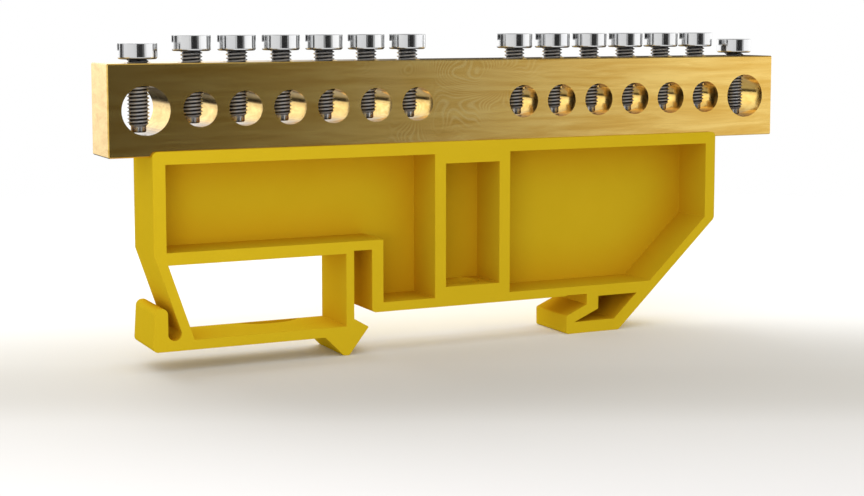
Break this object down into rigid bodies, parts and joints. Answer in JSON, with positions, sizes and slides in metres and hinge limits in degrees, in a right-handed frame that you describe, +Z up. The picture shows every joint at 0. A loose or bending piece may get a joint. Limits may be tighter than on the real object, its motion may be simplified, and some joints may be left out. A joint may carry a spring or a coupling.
{
  "type": "earth terminal bar",
  "caption": "Brass earth bar drilled for wires, with a clamp screw over each hole, on a moulded support that clips onto a top hat rail.",
  "frame": {"origin": "below the middle of the bar, on the surface that the catch and the hook of the support stand on", "axes": "+X along the bar from the clip end to the hook end, +Y from the open front of the support to its back, +Z up towards the screw heads"},
  "size_m": [0.103, 0.009, 0.0435],
  "materials": {
    "brass": "drawn, with fine lines along the bar",
    "yellow_plastic": "satin",
    "plated_steel": "bright zinc plating"
  },
  "bodies": {
    "bar_on_support": {"insulator": "yellow_plastic", "brass_bar": "brass", "fixing_screw": "plated_steel"},
    "terminal_screw_01": {"terminal_screw_01": "plated_steel"},
    "terminal_screw_02": {"terminal_screw_02": "plated_steel"},
    "terminal_screw_03": {"terminal_screw_03": "plated_steel"},
    "terminal_screw_04": {"terminal_screw_04": "plated_steel"},
    "terminal_screw_05": {"terminal_screw_05": "plated_steel"},
    "terminal_screw_06": {"terminal_screw_06": "plated_steel"},
    "terminal_screw_07": {"terminal_screw_07": "plated_steel"},
    "terminal_screw_08": {"terminal_screw_08": "plated_steel"},
    "terminal_screw_09": {"terminal_screw_09": "plated_steel"},
    "terminal_screw_10": {"terminal_screw_10": "plated_steel"},
    "terminal_screw_11": {"terminal_screw_11": "plated_steel"},
    "terminal_screw_12": {"terminal_screw_12": "plated_steel"},
    "terminal_screw_13": {"terminal_screw_13": "plated_steel"},
    "terminal_screw_14": {"terminal_screw_14": "plated_steel"}
  },
  "joints": [
    {"name": "terminal_screw_01_travel", "type": "slide", "parent": "bar_on_support", "child": "terminal_screw_01", "axis": [0, 0, 1], "range_m": [0, 0.0062]},
    {"name": "terminal_screw_02_travel", "type": "slide", "parent": "bar_on_support", "child": "terminal_screw_02", "axis": [0, 0, 1], "range_m": [0, 0.0044]},
    {"name": "terminal_screw_03_travel", "type": "slide", "parent": "bar_on_support", "child": "terminal_screw_03", "axis": [0, 0, 1], "range_m": [0, 0.0044]},
    {"name": "terminal_screw_04_travel", "type": "slide", "parent": "bar_on_support", "child": "terminal_screw_04", "axis": [0, 0, 1], "range_m": [0, 0.0044]},
    {"name": "terminal_screw_05_travel", "type": "slide", "parent": "bar_on_support", "child": "terminal_screw_05", "axis": [0, 0, 1], "range_m": [0, 0.0044]},
    {"name": "terminal_screw_06_travel", "type": "slide", "parent": "bar_on_support", "child": "terminal_screw_06", "axis": [0, 0, 1], "range_m": [0, 0.0044]},
    {"name": "terminal_screw_07_travel", "type": "slide", "parent": "bar_on_support", "child": "terminal_screw_07", "axis": [0, 0, 1], "range_m": [0, 0.0044]},
    {"name": "terminal_screw_08_travel", "type": "slide", "parent": "bar_on_support", "child": "terminal_screw_08", "axis": [0, 0, 1], "range_m": [0, 0.0044]},
    {"name": "terminal_screw_09_travel", "type": "slide", "parent": "bar_on_support", "child": "terminal_screw_09", "axis": [0, 0, 1], "range_m": [0, 0.0044]},
    {"name": "terminal_screw_10_travel", "type": "slide", "parent": "bar_on_support", "child": "terminal_screw_10", "axis": [0, 0, 1], "range_m": [0, 0.0044]},
    {"name": "terminal_screw_11_travel", "type": "slide", "parent": "bar_on_support", "child": "terminal_screw_11", "axis": [0, 0, 1], "range_m": [0, 0.0044]},
    {"name": "terminal_screw_12_travel", "type": "slide", "parent": "bar_on_support", "child": "terminal_screw_12", "axis": [0, 0, 1], "range_m": [0, 0.0044]},
    {"name": "terminal_screw_13_travel", "type": "slide", "parent": "bar_on_support", "child": "terminal_screw_13", "axis": [0, 0, 1], "range_m": [0, 0.0044]},
    {"name": "terminal_screw_14_travel", "type": "slide", "parent": "bar_on_support", "child": "terminal_screw_14", "axis": [0, 0, 1], "range_m": [0, 0.0062]}
  ]
}
